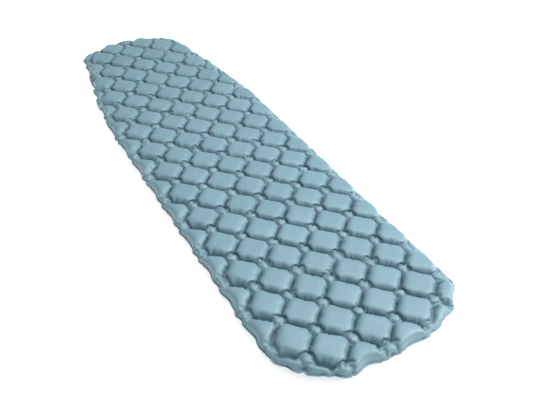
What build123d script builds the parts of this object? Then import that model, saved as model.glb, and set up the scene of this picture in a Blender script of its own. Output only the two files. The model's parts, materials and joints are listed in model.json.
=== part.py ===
from build123d import *
import math
import os

# ---------------------------------------------------------------------------
# Inflatable sleeping pad.  Millimetres, +Z up, the pad lies on z = 0.
# +Y runs from the wide head end to the narrow foot end, X is the width.
# The middle plane is half way up: both skins are welded together there.
# ---------------------------------------------------------------------------

# Pad as a whole
PITCH = 93.0                 # side of one square air cell
THICKNESS = 55.0             # blown-up height of the pad
LENGTH = 20.33 * PITCH       # head edge to foot edge
HALF_WIDTH = 3.05 * PITCH    # at the shoulders
TAPER_FROM = 3.4 * PITCH     # y where the sides start to close in
TAPER_RISE = 0.0915          # half width lost one pitch past that point, in pitches
TAPER_POWER = 1.25
HEAD_ROUND = 1.6 * PITCH     # length of the rounded head end
FOOT_ROUND = 1.3 * PITCH     # length of the rounded foot end
ROUND_POWER = 2.2            # 2 is an ellipse, more is squarer
END_STEPS = 7                # outline points along each quarter end
SIDE_STEPS = 5               # outline points along each side

# Skins and welds
SKIN = 0.5                   # wall of the coated fabric
SEAM = 8.0                   # width of the edge weld
EDGE_LEAN = 9.0              # how far the pad's side leans in from seam to top
WELD_WIDTH = 5.0             # width of a weld between two cells
WELD_LENGTH = 0.64 * PITCH   # the rest of a cell's side is open for the air
VALLEY_WIDTH = 22.0          # distance between two cells' top edges
SADDLE = 14.0                # height of the open corners above the middle plane
LATTICE_X = -0.12 * PITCH    # middle of the reference cell, in the head end
LATTICE_Y = -9.385 * PITCH

# Valve: its face is the skin of a lower cell on the centre line of the foot end
VALVE_CELL = 13              # rows of cells from the reference cell
VALVE_FACE = 8.0             # height of that skin above the ground
FLANGE_R = 31.0
FLANGE_T = 0.8
SOCKET_R = 20.0              # inside of the socket
SOCKET_WALL = 2.4
SOCKET_DEPTH = 7.0           # into the pad
SOCKET_RISE = 1.4            # out of the skin
HOLE_GAP = 0.3               # between the socket and the hole in the skin

GASKET_T = 0.7
GASKET_GAP = 0.05
GASKET_R = 19.9              # inside of the gasket

PLUG_R = 22.2
PLUG_T = 1.4
SKIRT_R = 19.6               # at the plug's plate
SKIRT_END_R = 18.9           # at its inner end
SKIRT_WALL = 1.4
PORT_R = 9.0
PORT_WALL = 1.6
SEAT_R = 14.6
SEAT_T = 1.2
SEAT_DEPTH = 3.1             # inner face of the seat below the skin
SEAT_LEDGE = 1.6             # ledge that the flap rests on
SPIDER_BAR = 1.4
TAB_WIDTH = 9.0
TAB_REACH = 5.0              # how far a finger tab stands out
TAB_T = 1.0

FLAP_R = 9.8
FLAP_T = 0.8
FLAP_GAP = 0.05
FLAP_ARM_WIDTH = 6.4
BEAD_X = 11.6                # hinge axis of the flap
BEAD_R = 0.75
BEAD_GAP = 0.05              # radial clearance in the clip
BEAD_LENGTH = 9.4
CLIP_INSIDE = 7.0            # between the clip's two cheeks
CLIP_CHEEK = 1.3
CLIP_FRONT = 1.5             # cheek beyond the bead's axis, towards the port
CLIP_BAR = 1.0
CLIP_HEIGHT = 2.6
CLIP_ROOF = 0.4              # wall of the clip over the bead
PEG_R = 0.7
PEG_GAP = 0.05

CAP_R = 11.6
CAP_T = 1.3
CAP_GAP = 0.1
SPIGOT_R = 8.7
SPIGOT_END_R = 8.4
SPIGOT_WALL = 1.2
SPIGOT_DEPTH = 2.2

STRAP_WIDTH = 8.0
STRAP_T = 0.9
STRAP_LOOP = 2.4             # width of the loop round the socket
STRAP_GAP = 0.05
STRAP_FOOT = 4.0             # length of a strap past its fold
FOLD_GAP = 0.3               # a strap's thin fold is left open between its halves
PLUG_FOLD_X = 25.2           # hinge axis of the plug
CAP_FOLD_X = -14.6           # hinge axis of the cap

EDGE_SOFTEN = 0.3            # small rounding on the mouldings

MIDDLE = THICKNESS / 2
VALVE_X = LATTICE_X
VALVE_Y = LATTICE_Y + VALVE_CELL * math.sqrt(2) * PITCH
PLUG_FLOOR = SOCKET_RISE + GASKET_GAP + GASKET_T
PLUG_TOP = PLUG_FLOOR + PLUG_T
BEAD_DEPTH = SEAT_DEPTH + CLIP_ROOF + BEAD_GAP + BEAD_R
SPAN = 0.01                  # tools reach this far past a face


# --- Outline ---------------------------------------------------------------

def side_x(y, inset):
    """Half width of the pad at y, before its ends are rounded."""
    past = max(0.0, y - TAPER_FROM) / PITCH
    return HALF_WIDTH - inset - TAPER_RISE * PITCH * past ** TAPER_POWER


def outline(inset, z):
    """Closed outline of the pad, drawn in from its edge by inset."""
    end = LENGTH / 2 - inset
    head = end - (HEAD_ROUND - inset)
    foot = end - (FOOT_ROUND - inset)
    right = []
    for step in range(1, END_STEPS + 1):
        angle = math.pi / 2 * step / END_STEPS
        along = math.cos(angle) ** (2 / ROUND_POWER)
        across = math.sin(angle) ** (2 / ROUND_POWER)
        y = -head - (end - head) * along
        right.append((side_x(y, inset) * across, y, z))
    for step in range(1, SIDE_STEPS + 1):
        y = -head + (foot + head) * step / (SIDE_STEPS + 1)
        right.append((side_x(y, inset), y, z))
    for step in range(END_STEPS):
        angle = math.pi / 2 * step / END_STEPS
        along = math.sin(angle) ** (2 / ROUND_POWER)
        across = math.cos(angle) ** (2 / ROUND_POWER)
        y = foot + (end - foot) * along
        right.append((side_x(y, inset) * across, y, z))
    left = [(-x, y, z) for x, y, z in reversed(right)]
    loop = [(0, -end, z)] + right + [(0, end, z)] + left
    return Wire(Spline(*loop, periodic=True))


# --- Skins -----------------------------------------------------------------

def valley(wall, low, high, length):
    """Wedge-shaped bar along local X that parts two cells between two heights."""
    lean = (VALLEY_WIDTH - WELD_WIDTH) / 2 / MIDDLE
    spread = wall * math.hypot(1, lean)
    low_half = WELD_WIDTH / 2 + lean * low + spread
    high_half = WELD_WIDTH / 2 + lean * high + spread
    section = Polyline((-low_half, low), (low_half, low), (high_half, high), (-high_half, high), close=True)
    return extrude(Plane.YZ * make_face(section), length / 2, both=True)


def lattice_point(i, j):
    """Centre of cell (i, j): i runs to one side of the head end and j to the other."""
    return LATTICE_X + (i - j) * PITCH / math.sqrt(2), LATTICE_Y - (i + j) * PITCH / math.sqrt(2)


def sides_of_cells():
    """Middle and direction of each cell side that lies inside the edge weld."""
    reach = math.ceil(LENGTH / PITCH)
    for i in range(-reach, 4):
        for j in range(-reach, 4):
            for di, dj, turn in ((0.5, 0, 45), (0, 0.5, -45)):
                x, y = lattice_point(i + di, j + dj)
                inside = abs(y) < LENGTH / 2 and abs(x) < side_x(y, 0)
                if inside:
                    yield x, y, turn


def valleys(wall):
    """All the wedges cut between cells: shallow along whole lines, deep over each weld."""
    top = MIDDLE + WELD_WIDTH
    saddle = SADDLE - wall
    floor = SKIN if wall == 0 else -WELD_WIDTH
    cuts = []
    long_bar = valley(wall, saddle, top, 3 * HALF_WIDTH)
    weld_bar = valley(wall, floor, saddle + SPAN, WELD_LENGTH + 2 * wall)
    lines = set()
    for x, y, turn in sides_of_cells():
        cuts.append(Location((x, y, 0), (0, 0, turn)) * weld_bar)
        crossing = y - math.copysign(x, x * turn)
        line = (turn, round(crossing, 3))
        if line not in lines:
            lines.add(line)
            cuts.append(Location((0, crossing, 0), (0, 0, turn)) * long_bar)
    return cuts


def air_body(wall, *extras):
    """Half of the pad above the middle plane, drawn in by a wall all round."""
    low = outline(SEAM + wall, 0)
    high = outline(SEAM + EDGE_LEAN + wall, MIDDLE - wall)
    body = Solid.make_loft([low, high], ruled=True)
    for extra in extras:
        body += extra
    return body - valleys(wall)


def half_skin():
    """One skin above the middle plane: edge weld, welds between cells, and their domes."""
    film = extrude(make_face(outline(0, 0)), SKIN)
    return air_body(0, film) - air_body(SKIN)


def cell_half_width(height):
    """Half the width of a cell at a height from the middle plane."""
    lean = (VALLEY_WIDTH - WELD_WIDTH) / 2 / MIDDLE
    return PITCH / 2 - WELD_WIDTH / 2 - lean * height


def cell_square(height, z):
    side = 2 * cell_half_width(height)
    return Pos(0, 0, z) * make_face(Wire.make_rect(side, side))


def make_upper_skin():
    return Location((0, 0, MIDDLE)) * half_skin()


def make_lower_skin(upper):
    """The upper skin turned over, with one cell made shallower round the valve."""
    skin = mirror(upper, about=Plane.XY.offset(MIDDLE))
    place = Location((VALVE_X, VALVE_Y, 0), (0, 0, 45))
    skin -= place * Box(PITCH, PITCH, 2 * VALVE_FACE)
    low = cell_square(MIDDLE - VALVE_FACE, VALVE_FACE)
    high = cell_square(MIDDLE - VALVE_FACE - SKIN, VALVE_FACE + SKIN)
    skin += place * loft([low, high])
    hole = Cylinder(SOCKET_R + SOCKET_WALL + HOLE_GAP, PITCH / 2)
    return skin - Location((VALVE_X, VALVE_Y, 0)) * hole


# --- Valve -----------------------------------------------------------------
# The valve is drawn with its axis at the origin, z = 0 on the outer face of
# the skin and +Z pointing out of the pad.

def ring(inner, outer, low, high):
    """A tube between two heights, with both radii given."""
    height = high - low
    tube = Cylinder(outer, height) - Cylinder(inner, 2 * height)
    return Pos(0, 0, (low + high) / 2) * tube


def disc(radius, low, high):
    return Pos(0, 0, (low + high) / 2) * Cylinder(radius, high - low)


def bar(x_low, x_high, y_low, y_high, low, high):
    size = (x_high - x_low, y_high - y_low, high - low)
    return Pos((x_low + x_high) / 2, (y_low + y_high) / 2, (low + high) / 2) * Box(*size)


def strip(x_low, x_high, width, low, high):
    """A straight bar across the X axis."""
    return bar(x_low, x_high, -width / 2, width / 2, low, high)


def cross_rod(x, z, radius, length):
    """A rod along Y."""
    return Pos(x, 0, z) * Rot(90, 0, 0) * Cylinder(radius, length)


def finger_tab(start, direction, low):
    """Rounded tab that stands out past a rim, towards +X or -X."""
    reach = start + TAB_REACH - TAB_WIDTH / 2
    plate = strip(0, reach, TAB_WIDTH, low, low + TAB_T)
    plate += Pos(reach, 0, 0) * disc(TAB_WIDTH / 2, low, low + TAB_T)
    return plate if direction > 0 else Rot(0, 0, 180) * plate


def make_valve_base():
    """Flange welded inside the skin, and the socket that passes through it."""
    socket = ring(SOCKET_R, SOCKET_R + SOCKET_WALL, -SOCKET_DEPTH, SOCKET_RISE)
    inner_rim = socket.edges().group_by(Axis.Z)[0]
    socket = chamfer(inner_rim, EDGE_SOFTEN)
    flange = ring(SOCKET_R + SOCKET_WALL - SPAN, FLANGE_R, -SKIN - FLANGE_T, -SKIN)
    return socket + flange


def make_plug_strap():
    """Loop round the socket, with a foot that rises to the plug's fold."""
    inner = SOCKET_R + SOCKET_WALL + STRAP_GAP
    loop = ring(inner, inner + STRAP_LOOP, STRAP_GAP, STRAP_GAP + STRAP_T)
    start = PLUG_FOLD_X + FOLD_GAP / 2
    end = PLUG_FOLD_X + STRAP_FOOT
    tongue = strip(inner + STRAP_LOOP / 2, end, STRAP_WIDTH, STRAP_GAP, STRAP_GAP + STRAP_T)
    riser = strip(end - STRAP_T, end, STRAP_WIDTH, STRAP_GAP, PLUG_FLOOR + STRAP_T)
    leaf = strip(start, end, STRAP_WIDTH, PLUG_FLOOR, PLUG_FLOOR + STRAP_T)
    return loop + tongue + riser + leaf


def make_plug_gasket():
    return ring(GASKET_R, PLUG_R, SOCKET_RISE + GASKET_GAP, PLUG_FLOOR)


def make_valve_plug():
    """Round plate with a tapered skirt, the inflation port and the seat of its flap."""
    plate = disc(PLUG_R, PLUG_FLOOR, PLUG_TOP)
    plate = fillet(plate.edges().group_by(Axis.Z)[-1], EDGE_SOFTEN)
    plate += finger_tab(PLUG_R, -1, PLUG_FLOOR)
    plate += strip(PORT_R, PLUG_FOLD_X - FOLD_GAP / 2, STRAP_WIDTH, PLUG_FLOOR, PLUG_FLOOR + STRAP_T)
    skirt_height = PLUG_FLOOR + SEAT_DEPTH
    cone = Cone(SKIRT_END_R, SKIRT_R, skirt_height)
    cone -= Cone(SKIRT_END_R - SKIRT_WALL, SKIRT_R - SKIRT_WALL, skirt_height)
    skirt = Pos(0, 0, (PLUG_FLOOR - SEAT_DEPTH) / 2) * cone
    tube = ring(PORT_R, PORT_R + PORT_WALL, -SEAT_DEPTH, PLUG_TOP)
    seat = ring(PORT_R - SEAT_LEDGE, SEAT_R, -SEAT_DEPTH, -SEAT_DEPTH + SEAT_T)
    plug = plate - disc(PORT_R, PLUG_FLOOR - SPAN, PLUG_TOP + SPAN) + skirt + tube + seat
    spider = strip(-PORT_R, PORT_R, SPIDER_BAR, -SEAT_DEPTH, -SEAT_DEPTH + SEAT_T)
    plug += spider + Rot(0, 0, 90) * spider
    for side in (-1, 1):
        hole = disc(PEG_R + PEG_GAP, -SEAT_DEPTH - SPAN, -SEAT_DEPTH + SEAT_T + SPAN)
        plug -= Pos(clip_bar_x(), side * cheek_y(), 0) * hole
    return plug


def cheek_y():
    return CLIP_INSIDE / 2 + CLIP_CHEEK / 2


def clip_bar_x():
    """Middle of the clip's cross bar, just behind the bead."""
    return BEAD_X + BEAD_R + 2 * BEAD_GAP + CLIP_BAR / 2


def make_flap_retainer():
    """Clip with two cheeks that hold the ends of the flap's bead."""
    back = clip_bar_x() + CLIP_BAR / 2
    low = -SEAT_DEPTH - CLIP_HEIGHT
    clip = strip(back - CLIP_BAR, back, CLIP_INSIDE + 2 * CLIP_CHEEK, low, -SEAT_DEPTH)
    for side in (-1, 1):
        inner = side * CLIP_INSIDE / 2
        outer = side * (CLIP_INSIDE / 2 + CLIP_CHEEK)
        clip += bar(BEAD_X - CLIP_FRONT, back, min(inner, outer), max(inner, outer), low, -SEAT_DEPTH)
        peg = disc(PEG_R, -SEAT_DEPTH - SPAN, -SEAT_DEPTH + SEAT_T)
        clip += Pos(clip_bar_x(), side * cheek_y(), 0) * peg
    return clip - cross_rod(BEAD_X, -BEAD_DEPTH, BEAD_R + BEAD_GAP, 2 * BEAD_LENGTH)


def make_check_flap():
    """Soft disc over the port's inner end, on an arm that ends in a bead."""
    top = -SEAT_DEPTH - FLAP_GAP
    flap = disc(FLAP_R, top - FLAP_T, top)
    flap += strip(FLAP_R / 2, BEAD_X, FLAP_ARM_WIDTH, top - FLAP_T, top)
    return flap + cross_rod(BEAD_X, -BEAD_DEPTH, BEAD_R, BEAD_LENGTH)


def make_valve_cap():
    """Cap of the inflation port: a disc, a hollow spigot, a finger tab and half of its strap."""
    low = PLUG_TOP + CAP_GAP
    cap = disc(CAP_R, low, low + CAP_T)
    cap = fillet(cap.edges().group_by(Axis.Z)[-1], EDGE_SOFTEN)
    cap += finger_tab(CAP_R, 1, low)
    cap += strip(CAP_FOLD_X + FOLD_GAP / 2, 0, STRAP_WIDTH, low, low + STRAP_T)
    depth = SPIGOT_DEPTH + CAP_GAP
    spigot = Cone(SPIGOT_END_R, SPIGOT_R, depth) - Cylinder(SPIGOT_R - SPIGOT_WALL, 2 * depth)
    return cap + Pos(0, 0, low - depth / 2) * spigot


def make_cap_strap():
    """Foot of the cap's strap, fixed on the plug's plate behind the fold."""
    high = PLUG_TOP + CAP_GAP + STRAP_T
    return strip(CAP_FOLD_X - STRAP_FOOT, CAP_FOLD_X - FOLD_GAP / 2, STRAP_WIDTH, PLUG_TOP, high)


def main():
    upper = make_upper_skin()
    parts = {"upper_skin": upper, "lower_skin": make_lower_skin(upper)}
    in_pad = Location((VALVE_X, VALVE_Y, VALVE_FACE)) * Rot(180, 0, 0)
    valve = {
        "valve_base": make_valve_base(),
        "plug_strap": make_plug_strap(),
        "plug_gasket": make_plug_gasket(),
        "valve_plug": make_valve_plug(),
        "flap_retainer": make_flap_retainer(),
        "check_flap": make_check_flap(),
        "valve_cap": make_valve_cap(),
        "cap_strap": make_cap_strap(),
    }
    parts.update({name: in_pad * piece for name, piece in valve.items()})
    os.makedirs("parts", exist_ok=True)
    for name, piece in parts.items():
        export_step(piece, f"parts/{name}.step")


main()
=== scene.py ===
"""Inflatable sleeping pad: its looks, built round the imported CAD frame. Metres, +Z up.

The two skins are cut flat on one grid, welded to each other along the cells' sides and the
edge, and blown up by a small cloth solver. Its solution is the mesh that is shown.
"""
import json
import math

import bpy
import numpy as np
from mathutils import Matrix, Vector


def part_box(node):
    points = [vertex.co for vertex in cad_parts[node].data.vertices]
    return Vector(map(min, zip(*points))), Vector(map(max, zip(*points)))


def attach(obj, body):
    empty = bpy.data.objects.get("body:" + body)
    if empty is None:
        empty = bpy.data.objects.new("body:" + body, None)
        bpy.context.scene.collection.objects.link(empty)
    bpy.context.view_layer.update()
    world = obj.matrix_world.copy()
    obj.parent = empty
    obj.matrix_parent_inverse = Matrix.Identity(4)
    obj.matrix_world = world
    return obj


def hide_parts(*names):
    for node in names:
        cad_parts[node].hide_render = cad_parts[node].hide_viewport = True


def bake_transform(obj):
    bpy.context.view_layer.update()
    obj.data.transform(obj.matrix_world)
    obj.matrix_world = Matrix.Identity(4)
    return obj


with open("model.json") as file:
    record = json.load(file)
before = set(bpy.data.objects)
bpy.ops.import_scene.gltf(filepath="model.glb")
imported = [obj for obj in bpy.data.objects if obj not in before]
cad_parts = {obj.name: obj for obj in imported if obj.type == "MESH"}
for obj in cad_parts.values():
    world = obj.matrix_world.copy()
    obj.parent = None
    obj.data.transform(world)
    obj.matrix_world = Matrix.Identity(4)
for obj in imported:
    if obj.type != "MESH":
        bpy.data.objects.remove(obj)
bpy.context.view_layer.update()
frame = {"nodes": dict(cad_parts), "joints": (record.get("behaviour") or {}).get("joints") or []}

# --- The pad's plan, as in the CAD model -------------------------------------
PITCH = 0.093                # side of one blown-up cell
VALVE_CELL = 13              # rows of cells from the reference cell to the valve's
HALF_WIDTH = 3.05 * PITCH
TAPER_FROM = 3.4 * PITCH     # y where the sides start to close in
TAPER_RISE = 0.0915
TAPER_POWER = 1.25
HEAD_ROUND = 1.6 * PITCH
FOOT_ROUND = 1.3 * PITCH
ROUND_POWER = 2.2
FOOT_MORE = 0.018            # the fabric reaches this far past the CAD model's foot end
HEAD_MORE = 0.01             # and this far past its head end
TIPS = (                     # x, y, how far the outline is drawn out (or in) there, and its spread
    (-0.13, -0.94, 0.035, 0.03),
    (-0.27, -0.85, -0.012, 0.05),
    (-0.19, 0.89, 0.028, 0.03),
)
SEAM = 0.004                 # width of the edge weld
HOLE_R = 0.0227              # hole in the lower skin for the valve's socket

skin_low, skin_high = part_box("upper_skin")
MIDDLE = skin_low.z          # height of the plane that both skins are welded in
HALF = skin_high.z - skin_low.z
LENGTH = skin_high.y - skin_low.y
valve_low, valve_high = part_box("valve_base")
VALVE = (valve_low + valve_high) / 2
FLANGE_R = (valve_high.x - valve_low.x) / 2
VALVE_MARGIN = 0.005         # the skin stays flat this far past the valve's flange
VALVE_RECESS = 0.008         # the skin at the flange lies this far above the ground
VALVE_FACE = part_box("lower_skin")[0].z + VALVE_RECESS - MIDDLE   # its height from the middle plane
LATTICE_X = VALVE.x
LATTICE_Y = VALVE.y - VALVE_CELL * math.sqrt(2) * PITCH

# --- The flat cut and the welds ----------------------------------------------
# Lattice coordinates count blown-up pitches along the two weld directions.
SHRINK = 1.33                # flat pitch / blown-up pitch
WELD_HALF = 0.258            # half the length of a weld between two cells
WELD_SHRINK = 1.28           # flat length of a weld / its blown-up length
SADDLE = 0.0088              # half height of the air's way between a cell and a corner puff
PUFF_EASE = 0.93             # fabric of a corner puff left once its ways to the cells are drawn tight
EDGE_FULL = 0.005            # spare fabric along the edge, which lets its cells bulge
EDGE_EASE = 0.8              # blown-up length of the edge weld / its flat length
GATHER = 0.055               # how far in from the edge the fabric is gathered
EDGE_BEND = 0.08             # how much stiffer the fabric bends by the edge
EDGE_LOOSE = 0.008           # this near to the edge even a weld is free to move
EDGE_STIFF = 0.9             # how straight the edge keeps over a few steps
EDGE_PULL = 0.005            # share of the way to the outline that the edge is drawn at each round
TAPE_BEND = 0.3              # how stiff the edge weld is in bending
JITTER = 0.001               # how far welds wander from the regular lattice
WANDER = (                   # the waves that they wander by: radians per cell each way, and phase
    (2.1, 3.7, 0.3),
    (3.3, -2.9, 1.7),
    (-4.1, 1.9, 2.9),
    (5.3, 4.7, 4.1),
)
RISE = 0.0315                # half height of a cell before its top is pressed flat
SQUARE = 1.8                 # how much steeper its walls then are
COARSE = (12, 3)             # mesh steps to a cell, and from a weld's middle to its end
FINE = (24, 6)
COARSE_BLOW = (150, 4e-5, 0.3, 0.05)   # rounds, the air's push, pull of short links, stiffness in bending
FINE_BLOW = (120, 2e-5, 0.07, 0.001)
DAMPING = 0.97               # share of its speed that the fabric keeps from round to round
EASE_FROM, EASE_BY = 0.6, 1.25         # part of the rounds after which the push fades, and how fast
SHEAR = 0.6                  # stiffness across a mesh face / along its sides
LATTICE_LOW, LATTICE_HIGH = -17, 5     # cells that the flat sheet is cut from, in both directions
FLANGE_ROWS = 2              # mesh faces across the edge weld


def lattice_to_plane(a, b):
    """Lattice coordinates to metres along X and Y, measured from the reference cell."""
    return (a - b) * PITCH / math.sqrt(2), -(a + b) * PITCH / math.sqrt(2)


def drawn_out(x, y):
    """How far the tips draw the outline out near a place, in metres."""
    return sum(reach * np.exp(-((x - at_x) ** 2 + (y - at_y) ** 2) / over ** 2)
               for at_x, at_y, reach, over in TIPS)


def depth_inside(a, b, inset):
    """How far a point of the lattice lies inside the outline, roughly, in metres."""
    x, y = lattice_to_plane(a, b)
    x = x + LATTICE_X
    y = y + LATTICE_Y
    head = LENGTH / 2 - HEAD_ROUND
    foot = LENGTH / 2 - FOOT_ROUND
    past = np.maximum(0, y - TAPER_FROM) / PITCH
    width = HALF_WIDTH - TAPER_RISE * PITCH * past ** TAPER_POWER - inset
    into_head = (-head - y) / (HEAD_ROUND + HEAD_MORE - inset)
    into_foot = (y - foot) / (FOOT_ROUND + FOOT_MORE - inset)
    along = np.maximum(0, np.maximum(into_head, into_foot))
    radius = (np.abs(x / width) ** ROUND_POWER + along ** ROUND_POWER) ** (1 / ROUND_POWER)
    return (1 - radius) * width + drawn_out(x, y)


class Grid:
    """Numbered lines of the mesh along one lattice direction, with a line at each weld's end."""

    def __init__(self, steps, weld):
        self.steps = steps
        self.half = steps // 2
        self.weld = weld

    def cell(self, line):
        return np.floor((line + self.half) / self.steps)

    def local(self, line):
        return line - self.steps * self.cell(line)

    def coordinate(self, line, pitch, weld_half):
        """Lattice coordinate of a line where cells are pitch apart and welds have that half length."""
        local = self.local(line)
        size = np.abs(local)
        rest = (pitch / 2 - weld_half) / (self.half - self.weld)
        inner = weld_half * size / self.weld
        outer = weld_half + rest * (size - self.weld)
        return pitch * self.cell(line) + np.sign(local) * np.where(size <= self.weld, inner, outer)

    def flat(self, i, j):
        return np.stack([self.coordinate(k, SHRINK, WELD_HALF * WELD_SHRINK) for k in (i, j)], 1)

    def blown(self, i, j):
        return np.stack([self.coordinate(k, 1, WELD_HALF) for k in (i, j)], 1)


CORNERS = ((0, 0), (1, 0), (1, 1), (0, 1))


def cut_sheet(grid):
    """Line numbers of the flat sheet's vertices and its faces, trimmed to the outline."""
    lines = np.arange(LATTICE_LOW * grid.steps, LATTICE_HIGH * grid.steps, dtype=float)
    i, j = np.meshgrid(lines, lines, indexing="ij")

    def level(i, j):
        a = grid.coordinate(i, SHRINK, WELD_HALF * WELD_SHRINK) / SHRINK
        b = grid.coordinate(j, SHRINK, WELD_HALF * WELD_SHRINK) / SHRINK
        return depth_inside(a, b, SEAM - EDGE_FULL) / PITCH * grid.steps

    snap, furthest, small = 0.4, 0.5, 1e-3
    near = np.abs(level(i, j)) < snap    # these move on to the outline
    for _ in range(3):
        value = level(i, j)
        slope_i = (level(i + small, j) - level(i - small, j)) / (2 * small)
        slope_j = (level(i, j + small) - level(i, j - small)) / (2 * small)
        step = value / (slope_i ** 2 + slope_j ** 2 + 1e-9)
        i = np.where(near, i - np.clip(step * slope_i, -furthest, furthest), i)
        j = np.where(near, j - np.clip(step * slope_j, -furthest, furthest), j)
    value = level(i, j)
    state = np.where(near, 0, np.sign(value)).astype(int)
    last = state.shape[0] - 1
    around = np.stack([state[di:di + last, dj:dj + last] for di, dj in CORNERS])
    whole = (around.min(0) >= 0) & (around.max(0) > 0)
    crossed = (around.min(0) < 0) & (around.max(0) > 0)
    used = np.zeros(state.shape, bool)
    for di, dj in CORNERS:
        there = (slice(di, di + last), slice(dj, dj + last))
        used[there] |= (whole | crossed) & (state[there] >= 0)
    number = np.full(state.shape, -1)
    number[used] = np.arange(used.sum())
    at_i, at_j = list(i[used]), list(j[used])
    row, column = np.nonzero(whole)
    faces = np.stack([number[row + di, column + dj] for di, dj in CORNERS], 1).tolist()
    made = {}

    def crossing(p, q):
        key = (min(p, q), max(p, q))
        if key not in made:
            t = value[p] / (value[p] - value[q])
            at_i.append(i[p] + t * (i[q] - i[p]))
            at_j.append(j[p] + t * (j[q] - j[p]))
            made[key] = len(at_i) - 1
        return made[key]

    for row, column in zip(*np.nonzero(crossed)):
        loop = [(row + di, column + dj) for di, dj in CORNERS]
        face = []
        for p, q in zip(loop, loop[1:] + loop[:1]):
            if state[p] >= 0:
                face.append(int(number[p]))
            if state[p] * state[q] < 0:
                face.append(crossing(p, q))
        if len(face) == 5:
            faces += [face[:4], [face[0], face[3], face[4]]]
        elif len(face) > 2:
            faces.append(face)
    return np.array(at_i), np.array(at_j), faces


def border_of(faces):
    """The sheet's border, vertex by vertex."""
    edges = {(face[k - 1], face[k]) for face in faces for k in range(len(face))}
    after = {p: q for p, q in edges if (q, p) not in edges}
    border = [min(after)]
    while after[border[-1]] != border[0]:
        border.append(after[border[-1]])
    return np.array(border)


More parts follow.
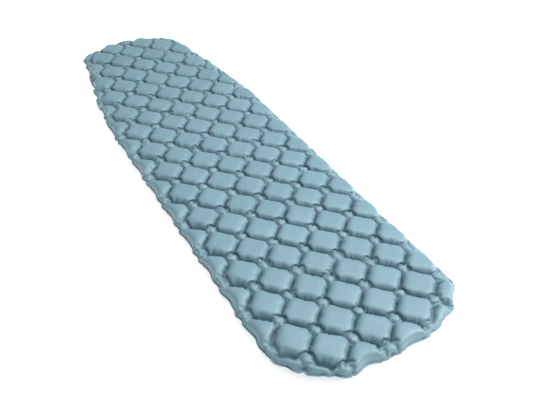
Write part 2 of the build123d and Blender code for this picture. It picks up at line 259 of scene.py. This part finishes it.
class Pad:
    """Both skins as one mesh that shares the vertices of its welds, with the edge weld's flange."""

    def __init__(self, grid):
        self.grid = grid
        i, j, self.top = cut_sheet(grid)
        self.border = border_of(self.top)
        weld = self.on_weld(i, j)
        shared = weld.copy()
        shared[self.border] = True
        flat, blown = grid.flat(i, j), grid.blown(i, j)
        self.sheet = len(i)

        outward = self.outward(flat[self.border])
        flats, blowns = [flat], [blown]
        self.flange = []
        inner, count = self.border, len(i)
        for row in range(1, FLANGE_ROWS + 1):
            ring = count + np.arange(len(inner))
            shift = outward * SEAM / PITCH * row / FLANGE_ROWS
            flats.append(flat[self.border] + shift)
            blowns.append(blown[self.border] + shift)
            quads = np.stack([np.roll(inner, -1), inner, ring, np.roll(ring, -1)], 1)
            self.flange += quads.tolist()
            inner, count = ring, count + len(ring)
        self.outer = inner

        free = np.nonzero(~shared)[0]
        lower = np.arange(len(i))
        lower[free] = count + np.arange(len(free))
        self.bottom = [[int(lower[v]) for v in reversed(face)] for face in self.top]
        self.flat = np.concatenate(flats + [flat[free]])
        self.blown = np.concatenate(blowns + [blown[free]])
        total = len(self.flat)
        self.i, self.j = np.full((2, total), np.nan)
        self.i[:len(i)], self.j[:len(i)] = i, j
        self.i[count:], self.j[count:] = i[free], j[free]
        self.side = np.zeros(total)          # 1 on the upper skin, -1 on the lower, 0 where they meet
        self.side[:len(i)] = np.where(shared, 0, 1)
        self.side[count:] = -1
        self.known = ~np.isnan(self.i)       # all but the flange
        self.hold(weld)

    def on_weld(self, i, j):
        """Vertices on a lattice line and within a weld's length of a cell's middle."""
        grid = self.grid
        line_i = (i == np.round(i)) & ((i - grid.half) % grid.steps == 0)
        line_j = (j == np.round(j)) & ((j - grid.half) % grid.steps == 0)
        beside_j = np.abs(grid.local(j)) <= grid.weld
        beside_i = np.abs(grid.local(i)) <= grid.weld
        return (line_i & beside_j) | (line_j & beside_i)

    @staticmethod
    def outward(ring):
        tangent = np.roll(ring, -1, 0) - np.roll(ring, 1, 0)
        tangent = sum(np.roll(tangent, k, 0) for k in range(-3, 4))
        normal = np.stack([tangent[:, 1], -tangent[:, 0]], 1)
        return normal / np.linalg.norm(normal, axis=1)[:, None]

    def hold(self, weld):
        """Welds, the saddles round each corner puff and the skin on the valve's flange don't move."""
        grid = self.grid
        i = np.abs(grid.local(np.where(self.known, self.i, 0)))
        j = np.abs(grid.local(np.where(self.known, self.j, 0)))
        across = np.abs(i + j - grid.half - grid.weld) < 1e-6
        self.saddle = self.known & across & (i > grid.weld) & (j > grid.weld)
        self.puff = self.known & (i + j > grid.half + grid.weld - 1e-6)
        from_valve = (self.flat + VALVE_CELL * SHRINK) * PITCH
        self.from_valve = np.where((self.side < 0)[:, None], from_valve, 1)
        self.disc = np.hypot(*self.from_valve.T) < FLANGE_R + VALVE_MARGIN
        inside = depth_inside(*self.blown.T, SEAM) > EDGE_LOOSE
        self.held = (self.saddle & inside) | self.disc
        self.held[:self.sheet] |= weld & inside[:self.sheet]
        self.held[self.border] = False

    def place_held(self, points):
        """Puts the held vertices in their places, each a little off the regular lattice."""
        spots = np.zeros_like(points)
        spots[:, :2] = self.blown * PITCH
        spots[:, 2] = self.side * self.saddle * SADDLE
        for k, (p, q, phase) in enumerate(WANDER):
            wave = np.sin(p * self.blown[:, 0] + q * self.blown[:, 1] + phase)
            spots += JITTER * wave[:, None] * (math.cos(k), math.sin(k + 1), math.cos(2 * k + 1))
        spots[self.disc, :2] = self.from_valve[self.disc] - VALVE_CELL * PITCH
        spots[self.disc, 2] = before_pressing(VALVE_FACE)
        points[self.held] = spots[self.held]

    def start(self):
        """Both skins bulging a little, cells more than corner puffs."""
        cell_rise, puff_rise, rim, unevenness = 0.5 * HALF, 0.008, 1.2, 1e-4
        points = np.zeros((len(self.flat), 3))
        points[:, :2] = self.blown * PITCH
        a, b = np.abs(self.blown - np.round(self.blown)).T
        cell = cell_rise * np.sqrt(np.abs(np.cos(math.pi * a) * np.cos(math.pi * b)))
        reach = (1 - a - b) / (0.5 - WELD_HALF)
        puff = SADDLE + puff_rise * np.clip(1 - reach ** 2, 0, None)
        points[:, 2] = self.side * np.where(reach < 1, puff, np.where(reach < rim, SADDLE, cell))
        points[:, 2] += np.random.default_rng(11).normal(0, unevenness, len(points))
        self.place_held(points)
        return points

    def edge_home(self):
        """Where the edge weld is drawn to: the outline, inside the line that the fabric is cut on."""
        edge = self.blown[self.border]
        home = np.zeros((len(edge), 3))
        home[:, :2] = edge * PITCH - self.outward(edge) * EDGE_FULL
        return home

    def refined(self, coarse, points):
        """Starting points read off the solution of a coarser pad."""
        ratio = self.grid.steps / coarse.grid.steps
        low = LATTICE_LOW * coarse.grid.steps
        size = (LATTICE_HIGH - LATTICE_LOW) * coarse.grid.steps + 2
        out = self.start()
        for sheet in (1, -1):
            table = np.full((size, size, 3), np.nan)
            pick = coarse.known & (coarse.side * sheet >= 0)
            lines = [np.round(line[pick]).astype(int) - low for line in (coarse.i, coarse.j)]
            table[lines[0], lines[1]] = points[pick]
            want = np.nonzero(self.known & (self.side * sheet >= 0))[0]
            i, j = self.i[want] / ratio - low, self.j[want] / ratio - low
            row, column = np.floor(i).astype(int), np.floor(j).astype(int)
            total, weight = np.zeros((len(want), 3)), np.zeros(len(want))
            for di, dj in CORNERS:
                share = np.abs(1 - di - (i - row)) * np.abs(1 - dj - (j - column)) + 1e-9
                value = table[row + di, column + dj]
                there = ~np.isnan(value[:, 0])
                total[there] += value[there] * share[there, None]
                weight[there] += share[there]
            found = weight > 0
            out[want[found]] = total[found] / weight[found, None]
        self.lay_flange(out)
        self.place_held(out)
        return out

    def lay_flange(self, points):
        """Stretches the flange level out from the edge."""
        outward = np.zeros((len(self.border), 3))
        outward[:, :2] = self.outward(points[self.border, :2])
        for row in range(1, FLANGE_ROWS + 1):
            ring = self.sheet + (row - 1) * len(self.border) + np.arange(len(self.border))
            points[ring] = points[self.border] + outward * SEAM * row / FLANGE_ROWS


# --- The cloth solver --------------------------------------------------------

def as_quads(faces):
    """Faces as an array of four; a triangle repeats its last vertex."""
    return np.array([face if len(face) == 4 else face + [face[-1]] for face in faces])


def unique_pairs(pairs):
    pairs = np.sort(pairs, 1)
    return np.unique(pairs[pairs[:, 0] != pairs[:, 1]], axis=0)


def pairs_of(quads):
    """Pairs of vertices along edges, across quads, and two steps apart over each edge."""
    is_quad = quads[:, 2] != quads[:, 3]
    ahead = np.concatenate([quads[:, [k, (k + 1) % 4]] for k in range(4)])
    diagonals = np.concatenate([quads[is_quad][:, [0, 2]], quads[is_quad][:, [1, 3]]])
    before = np.concatenate([quads[:, k - 1] for k in range(4)])
    after = np.concatenate([quads[:, (k + 2) % 4] for k in range(4)])
    before[:len(quads)][~is_quad] = quads[~is_quad, 2]
    real = ahead[:, 0] != ahead[:, 1]
    (p, q), before, after = ahead[real].T.astype(np.int64), before[real], after[real]
    big = 10 ** 7
    order = np.argsort(p * big + q)
    keys = (p * big + q)[order]
    place = np.searchsorted(keys, q * big + p) % len(keys)
    hit = keys[place] == q * big + p
    other = order[place][hit]
    bends = np.concatenate([np.stack([before[hit], after[other]], 1),
                            np.stack([after[hit], before[other]], 1)])
    return unique_pairs(ahead), unique_pairs(diagonals), unique_pairs(bends)


def colours_of(pairs, count):
    """A colour for each pair, so that no two pairs of one colour share a vertex."""
    taken = [0] * count
    out = np.empty(len(pairs), int)
    for k, (p, q) in enumerate(pairs.tolist()):
        free = ~(taken[p] | taken[q])
        bit = free & -free
        taken[p] |= bit
        taken[q] |= bit
        out[k] = bit.bit_length() - 1
    return out


def edge_effect(pad, pairs):
    """How near links are to the edge, 0 to 1, and how much shorter its gathering makes them."""
    flat = pad.flat / SHRINK
    a, b = ((flat[pairs[:, 0]] + flat[pairs[:, 1]]) / 2).T
    way = flat[pairs[:, 1]] - flat[pairs[:, 0]]
    small = 1e-4
    slope = np.stack([depth_inside(a + small, b, SEAM) - depth_inside(a - small, b, SEAM),
                      depth_inside(a, b + small, SEAM) - depth_inside(a, b - small, SEAM)], 1)
    size = np.linalg.norm(way, axis=1) * np.linalg.norm(slope, axis=1) + 1e-15
    along = 1 - ((way * slope).sum(1) / size) ** 2
    near = np.clip(1 - depth_inside(a, b, SEAM) / GATHER, 0, 1)
    return near, 1 - (1 - EDGE_EASE) * near * along


def links_of(pad, give, bend):
    """Groups of links: two ends, rest length, and how hard each is pulled back when long or short."""
    flat = pad.flat * PITCH
    tape = np.zeros(len(flat), bool)
    tape[pad.border] = True
    tape[pad.sheet:pad.outer.max() + 1] = True
    groups = []

    def add(pairs, length, when_long, when_short):
        colour = colours_of(pairs, len(flat))
        for k in range(colour.max() + 1):
            m = colour == k
            groups.append((pairs[m, 0], pairs[m, 1], length[m], when_long[m], when_short[m]))

    # For links along edges, across faces and over edges: the pull when long on the edge weld, when
    # long elsewhere, and when short elsewhere.
    stiffness = ((1, 1, give), (1, SHEAR, give * SHEAR), (0, 0, bend))
    kinds = pairs_of(as_quads(pad.top + pad.bottom + pad.flange))
    for pairs, (tape_long, long, short) in zip(kinds, stiffness):
        length = np.linalg.norm(flat[pairs[:, 0]] - flat[pairs[:, 1]], axis=1)
        pairs, length = pairs[length > 1e-6], length[length > 1e-6]
        on_tape = tape[pairs].all(1)
        tape_short = 1.0 if tape_long else TAPE_BEND
        near, ratio = edge_effect(pad, pairs)
        ratio = np.where(pad.puff[pairs].all(1), np.minimum(ratio, PUFF_EASE), ratio)
        if long == 0:
            short = short + EDGE_BEND * near
        when_long = np.where(on_tape, tape_long, long)
        add(pairs, length * ratio, when_long, np.where(on_tape, tape_short, short))
    border = pad.border
    step = np.linalg.norm(flat[np.roll(border, -1)] - flat[border], axis=1) * EDGE_EASE
    for span in (2, 4, 8)[:pad.grid.steps // 8]:
        pairs = np.stack([border, np.roll(border, -span)], 1)
        reach = sum(np.roll(step, -k) for k in range(span)) * EDGE_STIFF
        add(pairs, reach, np.zeros(len(pairs)), np.full(len(pairs), 0.5))
    return groups


def vertex_areas(pad, quads):
    flat = pad.flat * PITCH
    p, q = flat[quads[:, 2]] - flat[quads[:, 0]], flat[quads[:, 3]] - flat[quads[:, 1]]
    area = np.abs(p[:, 0] * q[:, 1] - p[:, 1] * q[:, 0]) / 8
    total = np.bincount(quads.ravel(), weights=np.repeat(area, 4), minlength=len(flat))
    return np.maximum(total, np.median(total) / 2)[:, None]


def cell_walls(pad):
    """Limits on the lattice coordinates of what lies beside a weld, so that cells don't pass through."""
    grid, gap = pad.grid, 0.006
    i, j = np.where(pad.known, pad.i, 0), np.where(pad.known, pad.j, 0)
    limits = []
    for line, other in ((i, j), (j, i)):
        between = (np.abs(grid.local(other)) <= grid.weld) & (np.abs(grid.local(line)) < grid.half)
        beside = pad.known & between
        cell = grid.cell(line)
        limits.append((np.where(beside, (cell - 0.5 + gap) * PITCH, -np.inf),
                       np.where(beside, (cell + 0.5 - gap) * PITCH, np.inf)))
    return np.stack([low for low, _ in limits], 1), np.stack([high for _, high in limits], 1)


def blow_up(pad, points, rounds, push, give, bend):
    """Pressure on both skins against fabric that hardly stretches, until it is nearly at rest."""
    quads = as_quads(pad.top + pad.bottom)
    corners = quads.ravel()
    groups = links_of(pad, give, bend)
    areas = vertex_areas(pad, quads)
    low, high = cell_walls(pad)
    free = np.where(pad.held, 0.0, 1.0)
    held = points[pad.held].copy()
    edge_home = pad.edge_home()
    speed = np.zeros_like(points)
    for turn in range(rounds):
        before = points.copy()
        p, q = points[quads[:, 2]] - points[quads[:, 0]], points[quads[:, 3]] - points[quads[:, 1]]
        normal = np.repeat(np.cross(p, q) / 8, 4, axis=0)
        force = np.stack([np.bincount(corners, weights=part, minlength=len(points))
                          for part in normal.T], 1)
        ease = 1 - EASE_BY * max(0, turn / rounds - EASE_FROM)
        speed = (speed + force / areas * push * ease) * DAMPING
        points = points + speed
        points[pad.border] += EDGE_PULL * (edge_home - points[pad.border])
        for p, q, length, when_long, when_short in groups:
            away = points[p] - points[q]
            now = np.sqrt(np.einsum("ij,ij->i", away, away)) + 1e-12
            over = (now - length) / now
            pull = over * np.where(over < 0, when_short, when_long) / (free[p] + free[q] + 1e-9)
            away *= pull[:, None]
            points[p] -= away * free[p][:, None]
            points[q] += away * free[q][:, None]
        points[pad.held] = held
        points[:, :2] = np.clip(points[:, :2], low, high)
        points[:, 2] = np.maximum(points[:, 2], -RISE)
        speed = points - before
    return points


def pressed(height):
    """Heights once the tops are pressed flat, as a firm pad's cells are, and the walls steeper."""
    part = np.clip(np.abs(height) / RISE, 0, 1)
    return np.sign(height) * HALF * (1 - (1 - part) ** SQUARE)


def before_pressing(height):
    """The height that pressed() turns into this one."""
    part = abs(height) / HALF
    return math.copysign(RISE * (1 - (1 - part) ** (1 / SQUARE)), height)


def inflate():
    """The blown-up pad and its vertices in the row frame."""
    pad = Pad(Grid(*COARSE))
    points = blow_up(pad, pad.start(), *COARSE_BLOW)
    coarse, coarse_points = pad, points
    pad = Pad(Grid(*FINE))
    points = blow_up(pad, pad.refined(coarse, coarse_points), *FINE_BLOW)
    edge = points[pad.border]
    points[pad.border] = (np.roll(edge, 1, 0) + 2 * edge + np.roll(edge, -1, 0)) / 4
    pad.lay_flange(points)
    x, y = lattice_to_plane(points[:, 0] / PITCH, points[:, 1] / PITCH)
    return pad, np.stack([x + LATTICE_X, y + LATTICE_Y, MIDDLE + pressed(points[:, 2])], 1)


# --- Materials ---------------------------------------------------------------

class Shader:
    """A material and its node tree, built call by call."""

    def __init__(self, name, **sockets):
        self.material = bpy.data.materials.new(name)
        self.material.use_nodes = True
        self.tree = self.material.node_tree
        self.surface = self.tree.nodes["Principled BSDF"]
        for socket, value in sockets.items():
            self.surface.inputs[socket.replace("_", " ")].default_value = value

    def node(self, kind, inputs=None, **settings):
        node = self.tree.nodes.new("ShaderNode" + kind)
        for key, value in settings.items():
            setattr(node, key, value)
        for key, value in (inputs or {}).items():
            if isinstance(value, bpy.types.NodeSocket):
                self.tree.links.new(value, node.inputs[key])
            else:
                node.inputs[key].default_value = value
        return node

    def attribute(self, name):
        return self.node("Attribute", attribute_name=name)

    def noise(self, where, scale, detail=2.0, roughness=0.5):
        return self.node("TexNoise", {"Vector": where, "Scale": scale, "Detail": detail,
                                      "Roughness": roughness}).outputs["Fac"]

    def remap(self, value, low, high, to_low, to_high):
        return self.node("MapRange", {"Value": value, "From Min": low, "From Max": high,
                                      "To Min": to_low, "To Max": to_high}).outputs["Result"]

    def ramp(self, value, *stops):
        node = self.node("ValToRGB", {"Fac": value})
        elements = node.color_ramp.elements
        while len(elements) < len(stops):
            elements.new(0.5)
        for element, (position, colour) in zip(elements, stops):
            element.position = position
            element.color = (*colour, 1)
        return node.outputs["Color"]

    def multiply(self, colour, factor):
        """A colour darkened or lightened by a value that varies."""
        node = self.node("Mix", data_type="RGBA", blend_type="MULTIPLY")
        node.inputs["Factor"].default_value = 1
        self.tree.links.new(colour, node.inputs["A"])
        self.tree.links.new(factor, node.inputs["B"])
        return node.outputs["Result"]

    def bump(self, height, distance, strength=1.0, under=None):
        inputs = {"Height": height, "Distance": distance, "Strength": strength}
        if under is not None:
            inputs["Normal"] = under
        return self.node("Bump", inputs).outputs["Normal"]

    def use(self, **sockets):
        for socket, value in sockets.items():
            self.tree.links.new(value, self.surface.inputs[socket.replace("_", " ")])
        return self.material


FABRIC_DARK = (0.092, 0.17, 0.204)
FABRIC_LIGHT = (0.108, 0.196, 0.234)
THREAD = 0.00045             # from one thread of the weave to the next


def coated_nylon():
    """Plain-woven nylon, its air-holding film inside: satin, faintly puckered, and darkened near the
    welds with painted shade for the valleys between cells.
    """
    shader = Shader("coated_nylon", Sheen_Weight=0.05, Sheen_Roughness=0.45, Specular_IOR_Level=0.4)
    cut = shader.attribute("cut").outputs["Vector"]
    weld = shader.attribute("weld").outputs["Fac"]
    cloud = shader.noise(cut, 7.0, 3.0, 0.55)
    colour = shader.ramp(cloud, (0.3, FABRIC_DARK), (0.7, FABRIC_LIGHT))
    fleck = shader.remap(shader.noise(cut, 900.0, 2.0), 0.3, 0.7, 0.96, 1.04)
    # painted shade: the colour darkens towards the welds, where the valleys between cells lie in shade
    crease_shade = shader.remap(weld, 0.0, 0.09, 0.85, 1.0)
    colour = shader.multiply(shader.multiply(colour, fleck), crease_shade)
    split = shader.node("SeparateXYZ", {"Vector": cut})
    waves = []
    for axis in "XY":
        place = {0: split.outputs[axis], 1: 2 * math.pi / THREAD}
        turns = shader.node("Math", place, operation="MULTIPLY")
        waves.append(shader.node("Math", {0: turns.outputs[0]}, operation="SINE").outputs[0])
    weave = shader.node("Math", {0: waves[0], 1: waves[1]}, operation="MULTIPLY").outputs[0]
    pucker = shader.noise(cut, 75.0, 4.0, 0.55)
    normal = shader.bump(pucker, 0.0011, 0.55)
    normal = shader.bump(weave, 0.00004, 0.25, under=normal)
    rough = shader.remap(cloud, 0.3, 0.7, 0.47, 0.4)
    return shader.use(Base_Color=colour, Roughness=rough, Normal=normal)


def moulded(name, colour, roughness, grain, grain_depth, **sockets):
    """Moulded plastic or rubber: a fine spark-eroded grain, faint flow clouds and rubbed spots."""
    shader = Shader(name, **sockets)
    place = shader.node("TexCoord").outputs["Object"]
    cloud = shader.noise(place, 90.0, 3.0)
    dark = tuple(0.86 * c for c in colour)
    light = tuple(1.12 * c for c in colour)
    tint = shader.ramp(cloud, (0.35, dark), (0.65, light))
    fine = shader.noise(place, grain, 2.0)
    normal = shader.bump(fine, grain_depth, 0.6)
    rough = shader.remap(cloud, 0.3, 0.7, roughness - 0.06, roughness + 0.06)
    return shader.use(Base_Color=tint, Roughness=rough, Normal=normal)


# --- Skins -------------------------------------------------------------------

FILM = 0.0006                # the lower skin's flange lies this far under the upper's


def mesh_piece(name, vertices, faces, material):
    mesh = bpy.data.meshes.new(name)
    mesh.from_pydata(vertices.tolist(), [], faces)
    mesh.materials.append(material)
    mesh.polygons.foreach_set("use_smooth", [True] * len(mesh.polygons))
    mesh.update()
    piece = bpy.data.objects.new(name, mesh)
    bpy.context.scene.collection.objects.link(piece)
    return piece


def skin_piece(name, pad, vertices, faces, material):
    """A skin's mesh with its place in the flat cut and its distance from the nearest weld."""
    used, flat_faces = np.unique(np.concatenate(faces), return_inverse=True)
    sizes = np.cumsum([0] + [len(face) for face in faces])
    faces = [flat_faces[a:b].tolist()[::-1] for a, b in zip(sizes, sizes[1:])]
    piece = mesh_piece(name, vertices[used], faces, material)
    cut = np.zeros((len(used), 3), np.float32)
    cut[:, :2] = pad.flat[used] * PITCH
    piece.data.attributes.new("cut", "FLOAT_VECTOR", "POINT").data.foreach_set("vector", cut.ravel())
    weld = weld_distance(pad)[used].astype(np.float32)
    piece.data.attributes.new("weld", "FLOAT", "POINT").data.foreach_set("value", weld)
    return piece


def weld_distance(pad):
    """Distance in lattice units from the nearest weld or saddle, along the cut."""
    a, b = np.abs(pad.blown - np.round(pad.blown)).T
    beside_a = np.hypot(0.5 - a, np.maximum(0, b - WELD_HALF))
    beside_b = np.hypot(0.5 - b, np.maximum(0, a - WELD_HALF))
    across = np.abs(a + b - 0.5 - WELD_HALF) / math.sqrt(2)
    return np.minimum(np.minimum(beside_a, beside_b), across)


def make_skins(pad, vertices, material):
    upper = skin_piece("upper_skin_fabric", pad, vertices, pad.top + pad.flange, material)
    radius = np.hypot(*pad.from_valve.T)
    bottom = [face for face in pad.bottom if radius[face].max() >= HOLE_R]
    crossed = [face for face in bottom if radius[face].min() < HOLE_R]
    rim = np.unique(np.concatenate(crossed))
    rim = rim[radius[rim] < HOLE_R]          # these move out to the hole's edge
    lower_vertices = vertices.copy()
    ratio = HOLE_R / radius[rim]
    centre = np.array(VALVE.xy)
    lower_vertices[rim, :2] = centre + (vertices[rim, :2] - centre) * ratio[:, None]
    lower_vertices[pad.sheet:pad.outer.max() + 1, 2] -= FILM
    flange = [face[::-1] for face in pad.flange]
    lower = skin_piece("lower_skin_fabric", pad, lower_vertices, bottom + flange, material)
    for piece, node in ((upper, "upper_skin"), (lower, "lower_skin")):
        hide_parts(node)
        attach(piece, "mat")


# --- Stage -------------------------------------------------------------------

CAMERA_LENS = 44.16          # millimetres, on a sensor 36 wide
CAMERA_ANGLES = (30.28, 39.34, 1.34)       # degrees: turn from +Y towards +X, tilt down, roll
CAMERA_CELLS = (-8.389, -8.694, 13.638)    # its place in cells, from the top of the reference cell


def look_along(turn, tilt, roll):
    """A camera's axes: looking along +Y turned towards +X, tilted down and rolled."""
    ahead = Vector((math.sin(turn) * math.cos(tilt), math.cos(turn) * math.cos(tilt), -math.sin(tilt)))
    right = ahead.cross(Vector((0, 0, 1))).normalized()
    up = right.cross(ahead)
    across = right * math.cos(roll) + up * math.sin(roll)
    return Matrix((across, up * math.cos(roll) - right * math.sin(roll), -ahead)).transposed().to_4x4()


def make_camera():
    data = bpy.data.cameras.new("camera")
    data.sensor_width = 36
    data.lens = CAMERA_LENS
    camera = bpy.data.objects.new("camera", data)
    bpy.context.scene.collection.objects.link(camera)
    place = look_along(*map(math.radians, CAMERA_ANGLES))
    reference = (LATTICE_X, LATTICE_Y, MIDDLE + HALF)
    place.translation = [origin + cells * PITCH for origin, cells in zip(reference, CAMERA_CELLS)]
    camera.matrix_world = place
    bpy.context.scene.camera = camera


def area_light(name, place, aim, size, watts, colour=(1, 1, 1)):
    data = bpy.data.lights.new(name, "AREA")
    data.shape = "RECTANGLE"
    data.size, data.size_y = size
    data.energy = watts
    data.color = colour
    light = bpy.data.objects.new(name, data)
    light.location = place
    light.rotation_euler = (Vector(aim) - Vector(place)).to_track_quat("-Z", "Y").to_euler()
    bpy.context.scene.collection.objects.link(light)


def make_stage():
    floor_shader = Shader("floor_paper", Base_Color=(0.9, 0.9, 0.9, 1), Roughness=0.9,
                          Emission_Color=(1, 1, 1, 1), Emission_Strength=0.55)
    size, drop = 15.0, 0.0002
    corners = [(-size, -size, -drop), (size, -size, -drop), (size, size, -drop), (-size, size, -drop)]
    floor = mesh_piece("floor", np.array(corners), [(0, 1, 2, 3)], floor_shader.material)
    world = bpy.data.worlds.new("studio")
    world.use_nodes = True
    world.node_tree.nodes["Background"].inputs["Color"].default_value = (1, 1, 1, 1)
    world.node_tree.nodes["Background"].inputs["Strength"].default_value = 0.75
    bpy.context.scene.world = world
    area_light("overhead", place=(0.6, -0.25, 2.2), aim=(0, -0.2, 0), size=(2.0, 2.2), watts=58)
    area_light("key", place=(2.2, -1.6, 2.0), aim=(0, 0, 0), size=(1.4, 1.4), watts=120,
               colour=(1.0, 0.985, 0.96))
    bpy.context.scene.view_settings.view_transform = "Standard"


# --- Valve -------------------------------------------------------------------

WEB_REACH = 0.0012           # how far a fold's web runs into the strap on each side
WEB_THICK = 0.00035
WEB_INSET = 0.0001           # how far its sides stay inside the strap's
WEB_STEPS = 12               # mesh faces along it


def make_valve():
    tpu = moulded("valve_tpu", (0.16, 0.19, 0.21), 0.5, 2600.0, 0.00005, Specular_IOR_Level=0.45)
    hard = moulded("valve_hard_plastic", (0.1, 0.12, 0.13), 0.34, 3400.0, 0.00003)
    silicone = moulded("silicone", (0.72, 0.74, 0.74), 0.55, 1800.0, 0.00004, Subsurface_Weight=0.1)
    finishes = {"valve_base": tpu, "plug_strap": tpu, "cap_strap": tpu, "valve_plug": tpu,
                "valve_cap": hard, "flap_retainer": hard,
                "plug_gasket": silicone, "check_flap": silicone}
    for node, material in finishes.items():
        mesh = frame["nodes"][node].data
        mesh.materials.clear()
        mesh.materials.append(material)
    strap_low, strap_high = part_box("cap_strap")
    width = strap_high.y - strap_low.y - 2 * WEB_INSET
    fold_web("plug_hinge", width, tpu)
    fold_web("cap_hinge", width, tpu)


def fold_web(name, width, material):
    """The thin web of a strap across its fold, at the joint of that name."""
    joint = next(joint for joint in frame["joints"] if joint["name"] == name)
    centre = Vector(joint["pos_m"])
    sections = ((-1, -1), (1, -1), (1, 1), (-1, 1))
    vertices = [(centre.x + WEB_REACH * (2 * k / WEB_STEPS - 1), centre.y + width / 2 * across,
                 centre.z + WEB_THICK / 2 * up) for across, up in sections for k in range(WEB_STEPS + 1)]
    rails = [k * (WEB_STEPS + 1) for k in range(4)]
    faces = [(a + k, b + k, b + k + 1, a + k + 1)
             for a, b in zip(rails, rails[1:] + rails[:1]) for k in range(WEB_STEPS)]
    faces += [rails[::-1], [a + WEB_STEPS for a in rails]]
    web = mesh_piece(name + "_web", np.array(vertices), faces, material)
    web.data.shade_flat()
    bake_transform(web)


make_camera()
make_stage()
pad, pad_vertices = inflate()
make_skins(pad, pad_vertices, coated_nylon())
make_valve()
